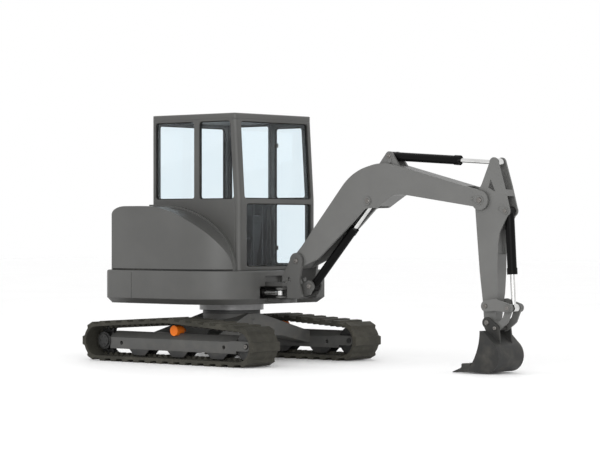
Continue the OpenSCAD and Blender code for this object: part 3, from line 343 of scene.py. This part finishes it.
# How far bolts and pin heads reach into what carries them, in metres
SUNK = 0.002


def bolt(bm, centre, axis, r):
    """Hexagon head with a chamfered top on a round washer."""
    turned(bm, centre, axis, [(0, -SUNK), (1.45 * r, -SUNK), (1.45 * r, 0.15 * r), (1.35 * r, 0.25 * r),
                              (0, 0.25 * r)], 20)
    turned(bm, centre, axis, [(0, 0.2 * r), (r, 0.2 * r), (r, 0.85 * r), (0.86 * r, r), (0, r)], 6)


def pin_end(bm, centre, axis, r):
    """Chamfered pin head with a grease nipple."""
    turned(bm, centre, axis, [(0, -SUNK), (0.86 * r, -SUNK), (0.86 * r, 0.003), (0.74 * r, 0.006),
                              (0.30 * r, 0.006), (0.26 * r, 0.010), (0.14 * r, 0.012), (0.13 * r, 0.017),
                              (0, 0.019)])


def plate(bm, points, out, thick, chamfer=0.97):
    """Flat plate on an outline, with its outer edge drawn in towards the middle."""
    middle = sum(points, Vector()) / len(points)
    layers = [[bm.verts.new(middle + (p - middle) * k + out * h) for p in points]
              for h, k in ((-0.001, 1.0), (0.7 * thick, 1.0), (thick, chamfer))]
    for low, high in zip(layers, layers[1:]):
        for k in range(len(low)):
            n = (k + 1) % len(low)
            bm.faces.new((low[k], low[n], high[n], high[k]))
    bm.faces.new(layers[0])
    bm.faces.new(layers[-1])


def keeper(bm, centre, side, r, angle, reach):
    """Flag plate round a pin, held by one bolt at the given angle in X and Z."""
    out = Vector((0.0, side, 0.0))
    way = Vector((math.cos(math.radians(angle)), 0.0, math.sin(math.radians(angle))))
    cross = Vector((-way.z, 0.0, way.x))
    wide, narrow, thick = 1.55 * r, 0.62 * r, 0.006
    outline = [(-math.sin(a) * wide, math.cos(a) * wide) for a in (math.pi * k / 12 for k in range(13))]
    outline += [(reach + math.sin(a) * narrow, -math.cos(a) * narrow)
                for a in (math.pi * k / 8 for k in range(9))]
    plate(bm, [centre + way * u + cross * v for u, v in outline], out, thick)
    bolt(bm, centre + way * reach + out * thick, out, 0.40 * r)


# Track drums in millimetres: place of their axles, and the outer faces of the drive hub and of its middle
DRUM_X, DRUM_Z = 970, 200
HUB_Y, HUB_MIDDLE_Y = 863, 875

# Bolt circles in millimetres: radius, count and first angle, then the bolts' radius in metres
HUB_RING = (78, 12, 15.0, 0.0062)
HUB_MIDDLE = (44, 6, 0.0, 0.0075)
KING_COVER = (27, 3, 30.0, 0.007)
KING_X, KING_Z = 760, 812

# Pins along Y: node, X, Z, radius, half length, half width of what carries it, keeper angle and reach
PINS = (
    ("boom_pins", 3200, 1603, 28, 112, 100, 168, 78),
    ("boom_pins", 2108, 2035, 24, 80, 72, -75, 62),
    ("boom", 1866, 1607, 30, 111, 111, None, 0),
    ("stick_pins", 3470, 1504, 22, 78, 70, 160, 66),
    ("stick_pins", 3270, 624, 22, 109, 103, None, 0),
    ("stick_pins", 3285, 472, 25, 109, 103, None, 0),
    ("rocker", 3521, 610, 22, 114, 114, None, 0),
    ("bucket", 3380, 422, 22, 109, 103, None, 0),
    ("king_pins", 980, 1020, 28, 138, 132, None, 0),
    ("king_pins", 1100, 770, 28, 78, 72, None, 0),
    ("idlers", DRUM_X, DRUM_Z, 26, HUB_Y, HUB_Y, None, 0),
)


def pins():
    """Heads, nipples and keepers of all cross pins, one piece to each."""
    for number, (node, x, z, r, half, carrier, angle, reach) in enumerate(PINS):
        bm = bmesh.new()
        for side in (-1, 1):
            pin_end(bm, at(x, side * half, z), (0, side, 0), r / 1000.0)
        piece("pin_%s_%02d" % (node, number), bm, "pin_steel", BODY_OF[node])
        if angle is not None:
            bm = bmesh.new()
            for side in (-1, 1):
                keeper(bm, at(x, side * carrier, z), side, r / 1000.0, angle, reach / 1000.0)
            piece("keeper_%s_%02d" % (node, number), bm, "arm_paint", BODY_OF[node])


def circle(ring):
    """Offsets of the bolts on a bolt circle."""
    radius, count, first, _ = ring
    for k in range(count):
        a = math.radians(360.0 / count * k + first)
        yield radius * math.cos(a), radius * math.sin(a)


def hub_bolts():
    """Bolt circles of the drive hubs and the king pin's cover."""
    bm = bmesh.new()
    for side in (-1, 1):
        for ring, y in ((HUB_RING, HUB_Y), (HUB_MIDDLE, HUB_MIDDLE_Y)):
            for u, v in circle(ring):
                bolt(bm, at(u - DRUM_X, side * y, DRUM_Z + v), (0, side, 0), ring[3])
    piece("hub_bolts", bm, "dark_steel", BODY_OF["sprockets"])
    bm = bmesh.new()
    for u, v in circle(KING_COVER):
        bolt(bm, at(KING_X + u, v, KING_Z), (0, 0, 1), KING_COVER[3])
    piece("king_pin_bolts", bm, "dark_steel", BODY_OF["king_pins"])


# Decimals of square metres to which a pane's faces count as equal, so that the same one is always taken
AREA_DIGITS = 5


def pane_outlines(node):
    """Outline on the middle plane and face direction of each pane of a glass node, always in the same order."""
    bm = bmesh.new()
    bm.from_mesh(NODES[node].data)
    bmesh.ops.remove_doubles(bm, verts=bm.verts, dist=1e-5)
    seen = set()
    for first in bm.faces:
        if first in seen:
            continue
        seen.add(first)
        stack, island = [first], []
        while stack:
            face = stack.pop()
            island.append(face)
            for near in (f for e in face.edges for f in e.link_faces):
                if near not in seen:
                    seen.add(near)
                    stack.append(near)
        big = max(island, key=lambda f: (round(f.calc_area(), AREA_DIGITS), *f.normal))
        out = big.normal.copy()
        front = [f for f in island if f.normal.dot(out) > 0.99]
        depth = [v.co.dot(out) for f in island for v in f.verts]
        inset = out * ((max(depth) - min(depth)) / 2.0)
        rim = {}
        for face in front:
            for loop in face.loops:
                if sum(f in front for f in loop.edge.link_faces) == 1:
                    rim[loop.vert] = loop.link_loop_next.vert
        start = next(iter(rim))
        chain, vert = [start], rim[start]
        while vert is not start:
            chain.append(vert)
            vert = rim[vert]
        points = [v.co - inset for v in chain]
        points = [p for k, p in enumerate(points) if (p - points[k - 1]).length > 1e-4]
        yield points, out
    bm.free()


# Rubber section: how far in over the glass, and how far to either side of it, in metres
SEAL = ((-0.0005, -0.013), (0.006, -0.013), (0.0085, -0.0115), (0.0095, -0.008),
        (0.0095, 0.008), (0.0085, 0.0115), (0.006, 0.013), (-0.0005, 0.013))


def seals(node, name):
    """Rubber profile round every pane of a glass node."""
    bm = bmesh.new()
    for points, out in pane_outlines(node):
        count = len(points)
        rings = []
        for k in range(count):
            before = (points[k] - points[k - 1]).normalized()
            after = (points[(k + 1) % count] - points[k]).normalized()
            a, b = out.cross(before), out.cross(after)
            inward = (a + b) / (1.0 + a.dot(b))
            rings.append([bm.verts.new(points[k] + inward * u + out * v) for u, v in SEAL])
        for k in range(count):
            low, high = rings[k], rings[(k + 1) % count]
            for j in range(len(SEAL)):
                n = (j + 1) % len(SEAL)
                bm.faces.new((low[j], low[n], high[n], high[j]))
    piece(name, bm, "seal_rubber", BODY_OF[node], 50.0)


# Seat pads, in metres: what the block is smaller by, how far a point may swell, and the sewing
PAD_INSET = 0.020
PAD_CAP = 0.024
PAD_ROUND = 0.014
PAD_VOXEL = 0.006
PAD_PRESSURE = 4.0
PAD_FRAMES = 20
GROOVE_DEPTH = 0.010
GROOVE_WIDTH = 0.007
SEAM_DEPTH = 0.003
SEAM_SHARE = 0.035

# Places of the sewn channels along each pad, as shares of its length
SEAT_GROOVES = (0.30, 0.52, 0.74)
BACK_GROOVES = (0.28, 0.50, 0.72)


def pad_boxes():
    """Boxes of the two pads that the seat node holds."""
    bm = bmesh.new()
    bm.from_mesh(NODES["seat_cushions"].data)
    bmesh.ops.remove_doubles(bm, verts=bm.verts, dist=1e-5)
    left = set(bm.verts)
    while left:
        stack, island = [left.pop()], []
        while stack:
            vert = stack.pop()
            island.append(vert.co.copy())
            for edge in vert.link_edges:
                near = edge.other_vert(vert)
                if near in left:
                    left.discard(near)
                    stack.append(near)
        yield (Vector([min(c[i] for c in island) for i in range(3)]),
               Vector([max(c[i] for c in island) for i in range(3)]))
    bm.free()


def modified(obj):
    """Mesh of an object with its modifiers applied."""
    graph = bpy.context.evaluated_depsgraph_get()
    return bpy.data.meshes.new_from_object(obj.evaluated_get(graph))


def cushion(name, low, high, rest, grooves):
    """Stuffed pad: a smaller block inflated as cloth, held flat where it rests, then sewn in channels."""
    near, far = low + Vector([PAD_INSET] * 3), high - Vector([PAD_INSET] * 3)
    near[rest] = low[rest]
    bm = bmesh.new()
    bmesh.ops.create_cube(bm, size=1.0)
    for vert in bm.verts:
        vert.co = Vector([near[i] if vert.co[i] < 0 else far[i] for i in range(3)])
    bmesh.ops.bevel(bm, geom=bm.edges[:], offset=PAD_ROUND, segments=3, profile=0.6, affect="EDGES")
    made = piece(name, bm, "seat_fabric", "house", 180.0)
    remesh = made.modifiers.new("remesh", "REMESH")
    remesh.mode = "VOXEL"
    remesh.voxel_size = PAD_VOXEL
    made.data = modified(made)
    made.modifiers.clear()
    start = [v.co.copy() for v in made.data.vertices]
    held = made.vertex_groups.new(name="held")
    held.add([k for k, c in enumerate(start) if c[rest] < low[rest] + PAD_VOXEL], 1.0, "REPLACE")
    cloth = made.modifiers.new("cloth", "CLOTH")
    cloth.settings.use_pressure = True
    cloth.settings.uniform_pressure_force = PAD_PRESSURE
    cloth.settings.vertex_group_mass = "held"
    cloth.settings.effector_weights.gravity = 0.0
    for number in range(1, PAD_FRAMES + 1):
        bpy.context.scene.frame_set(number)
    made.data = modified(made)
    made.modifiers.clear()
    bpy.context.scene.frame_set(1)
    across = 1
    along = 3 - rest - across
    span = high[across] - low[across]
    length = high[along] - low[along]
    middle = (low + high) / 2.0
    for vert, first in zip(made.data.vertices, start):
        step = vert.co - first
        if step.length > PAD_CAP:
            step *= PAD_CAP / step.length
        spot = first + step
        rise = (spot[rest] - low[rest]) / (high[rest] - low[rest])
        if rise > 0.5:
            for groove in grooves:
                off = (spot[along] - low[along]) / length - groove
                edge = min(1.0, 4.0 * min(spot[across] - low[across], high[across] - spot[across]) / span)
                spot[rest] -= GROOVE_DEPTH * edge * math.exp(-(off * length / GROOVE_WIDTH) ** 2)
        seam = math.exp(-((rise - 0.5) / SEAM_SHARE) ** 2)
        for axis in (across, along):
            if abs(spot[axis] - middle[axis]) > 0.44 * (high[axis] - low[axis]):
                spot[axis] -= math.copysign(SEAM_DEPTH * seam, spot[axis] - middle[axis])
        vert.co = Vector([min(max(spot[i], low[i]), high[i]) for i in range(3)])
    made.data.materials.clear()
    made.data.materials.append(MATERIALS["seat_fabric"])
    made.data.polygons.foreach_set("use_smooth", [True] * len(made.data.polygons))
    finer = made.modifiers.new("finer", "SUBSURF")
    finer.levels = finer.render_levels = 1
    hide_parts("seat_cushions")


def seat():
    """Pads of the seat and of its back, in place of the plain ones."""
    flat, upright = sorted(pad_boxes(), key=lambda b: b[1].z)
    cushion("seat_pad", *flat, 2, SEAT_GROOVES)
    cushion("back_pad", *upright, 0, BACK_GROOVES)


# Joint strips, in metres: half width and rise of each, and how deep they are rooted
STRIP_ROOT = 0.004
WEIGHT_STRIP = (0.010, 0.003)
# The strip under the hood is partly a real seal and partly a dark line that paints the shade under the hood's
# edge
HOOD_SHADE_STRIP = (0.008, 0.004)

# Counterweight's joint, and the hood's lower edge with its round corner, in millimetres from the slew axis
WEIGHT_X, WEIGHT_Y, WEIGHT_Z = -652, 786, (640, 900)
HOOD_REAR_X, HOOD_Y, HOOD_Z = -935, -770, 928
HOOD_CORNER = (-26, -189)
HOOD_CORNER_R = 581
HOOD_CORNER_TURN = 58.0
HOOD_CORNER_STEPS = 18


def strip(name, points, outs, half, rise, slot, body):
    """Rubber strip with a rounded face, along points that each have a direction outwards."""
    bm = bmesh.new()
    section = [(-half, -STRIP_ROOT), (-half, 0.3 * rise), (-0.6 * half, 0.85 * rise), (0.0, rise),
               (0.6 * half, 0.85 * rise), (half, 0.3 * rise), (half, -STRIP_ROOT)]
    rings = []
    for k, (point, out) in enumerate(zip(points, outs)):
        way = (points[min(k + 1, len(points) - 1)] - points[max(k - 1, 0)]).normalized()
        wide = way.cross(out)
        rings.append([bm.verts.new(point + wide * u + out * v) for u, v in section])
    for low, high in zip(rings, rings[1:]):
        for k in range(len(section)):
            n = (k + 1) % len(section)
            bm.faces.new((low[k], low[n], high[n], high[k]))
    bm.faces.new(rings[0])
    bm.faces.new(rings[-1])
    piece(name, bm, slot, body)


def joint_strips():
    """Rubber in the joint of the counterweight and under the hood's side and round corner; the strip under the
    hood also paints the shade under its edge.
    """
    for side, word in ((-1, "right"), (1, "left")):
        out = Vector((0.0, side, 0.0))
        ends = [at(WEIGHT_X, side * WEIGHT_Y, z) for z in WEIGHT_Z]
        strip("weight_joint_" + word, ends, [out] * 2, *WEIGHT_STRIP, "seal_rubber", "house")
    points, outs = [at(HOOD_REAR_X, HOOD_Y, HOOD_Z)], [Vector((0.0, -1.0, 0.0))]
    x, y = HOOD_CORNER
    for k in range(HOOD_CORNER_STEPS + 1):
        a = math.radians(HOOD_CORNER_TURN * k / HOOD_CORNER_STEPS)
        outs.append(Vector((math.sin(a), -math.cos(a), 0.0)))
        points.append(at(x + HOOD_CORNER_R * math.sin(a), y - HOOD_CORNER_R * math.cos(a), HOOD_Z))
    # Dark strip under the hood: partly a real seal, partly painted shade under the hood's edge
    strip("hood_joint_shade", points, outs, *HOOD_SHADE_STRIP, "seal_rubber", "house")


# Inner trim of the cab, dark panels that are partly real lining and partly painted shade inside the cab: name,
# direction inwards, and each panel's lowest and highest corner in millimetres
SHADE_TRIM = (
    ("trim_left", (0, -1, 0), (-640, 671, 936), (-112, 671, 1616)),
    ("trim_right", (0, 1, 0), (-640, -409, 936), (440, -409, 1616)),
    ("trim_rear", (1, 0, 0), (-652, -396, 936), (-652, 658, 1616)),
    ("trim_roof", (0, 0, -1), (-640, -396, 2436), (388, 658, 2436)),
)
TRIM_ROUND = 0.045
TRIM_THICK = 0.007

# Clips: spacing, ways in from the panel's long edges and ends, and their turned section, in metres
CLIP_SPACING = 0.25
CLIP_EDGE, CLIP_END = 0.030, 0.06
CLIP = [(0, -0.001), (0.009, -0.001), (0.008, 0.0015), (0.004, 0.003), (0, 0.0025)]


def shade_trim():
    """Moulded panels with round corners and a row of clips along each long edge; their dark plastic also paints
    the shade inside the cab.
    """
    for name, inwards, low, high in SHADE_TRIM:
        out, near, far = Vector(inwards), at(*low), at(*high)
        u, v = [Vector([float(i == k) for i in range(3)]) for k in range(3) if not inwards[k]]
        width, height = (far - near).dot(u), (far - near).dot(v)
        points = []
        for number, (cx, cy) in enumerate(((width, height), (0, height), (0, 0), (width, 0))):
            cx += TRIM_ROUND if cx == 0 else -TRIM_ROUND
            cy += TRIM_ROUND if cy == 0 else -TRIM_ROUND
            for k in range(7):
                a = math.radians(90.0 * number + 15.0 * k)
                points.append(near + u * (cx + TRIM_ROUND * math.cos(a))
                              + v * (cy + TRIM_ROUND * math.sin(a)))
        bm = bmesh.new()
        plate(bm, points, out, TRIM_THICK, 0.99)
        count = max(2, round(width / CLIP_SPACING))
        for k in range(count):
            along = CLIP_END + (width - 2.0 * CLIP_END) * k / (count - 1)
            for edge in (CLIP_EDGE, height - CLIP_EDGE):
                turned(bm, near + u * along + v * edge + out * TRIM_THICK, out, CLIP, 16)
        # Dark plastic here is partly real lining and partly painted shade inside the cab
        piece(name, bm, "black_plastic", "house")


pins()
hub_bolts()
seals("cab_glass", "window_seals")
seals("door_glass", "door_seals")
seat()
joint_strips()
shade_trim()


# Stage

# Half width of the floor in metres
FLOOR_REACH = 60.0


def studio():
    """Pale floor under a white surround."""
    floor = bpy.data.meshes.new("studio_floor")
    floor.from_pydata([(-FLOOR_REACH, -FLOOR_REACH, 0), (FLOOR_REACH, -FLOOR_REACH, 0),
                       (FLOOR_REACH, FLOOR_REACH, 0), (-FLOOR_REACH, FLOOR_REACH, 0)], [], [(0, 1, 2, 3)])
    piece = bpy.data.objects.new("studio_floor", floor)
    bpy.context.scene.collection.objects.link(piece)
    s = Shader("studio_floor").set(Emission_Color=(1.0, 1.0, 1.0, 1.0), Emission_Strength=0.045)
    s.feed(s.mix(s.ramp(s.noise(0.6, 3.0), 0.3, 0.7), (0.93, 0.93, 0.93), (0.95, 0.95, 0.95)), "Base Color")
    s.feed(s.ramp(s.noise(2.0, 3.0), 0.3, 0.7, 0.55, 0.65), "Roughness")
    floor.materials.append(s.material)

    bpy.context.scene.view_settings.view_transform = "Standard"
    world = bpy.data.worlds.new("studio")
    bpy.context.scene.world = world
    world.use_nodes = True
    back = world.node_tree.nodes["Background"]
    back.inputs["Color"].default_value = (1.0, 1.0, 1.0, 1.0)
    back.inputs["Strength"].default_value = 1.0


def lamp(name, spot, aim, size, watts, mirrored=True):
    """Round soft lamp, which shows in shiny surfaces only if mirrored."""
    data = bpy.data.lights.new(name, "AREA")
    data.shape = "DISK"
    data.size = size
    data.energy = watts
    made = bpy.data.objects.new(name, data)
    made.location = spot
    made.rotation_euler = (Vector(aim) - Vector(spot)).to_track_quat("-Z", "Y").to_euler()
    made.visible_glossy = mirrored
    bpy.context.scene.collection.objects.link(made)


def camera():
    """Camera at the photograph's place."""
    data = bpy.data.cameras.new("camera")
    data.lens = LENS_MM
    data.sensor_width = SENSOR_MM
    data.sensor_fit = "HORIZONTAL"
    data.clip_end = 500.0
    made = bpy.data.objects.new("camera", data)
    made.location = CAMERA_AT
    made.rotation_euler = [math.radians(a) for a in CAMERA_TURN]
    bpy.context.scene.collection.objects.link(made)
    bpy.context.scene.camera = made


studio()
lamp("key", (7.0, -8.5, 4.4), (-0.4, 0.0, 1.2), 8.0, 450.0)
lamp("fill", (-9.0, -7.0, 5.0), (-0.8, 0.0, 1.0), 6.0, 150.0, False)
camera()
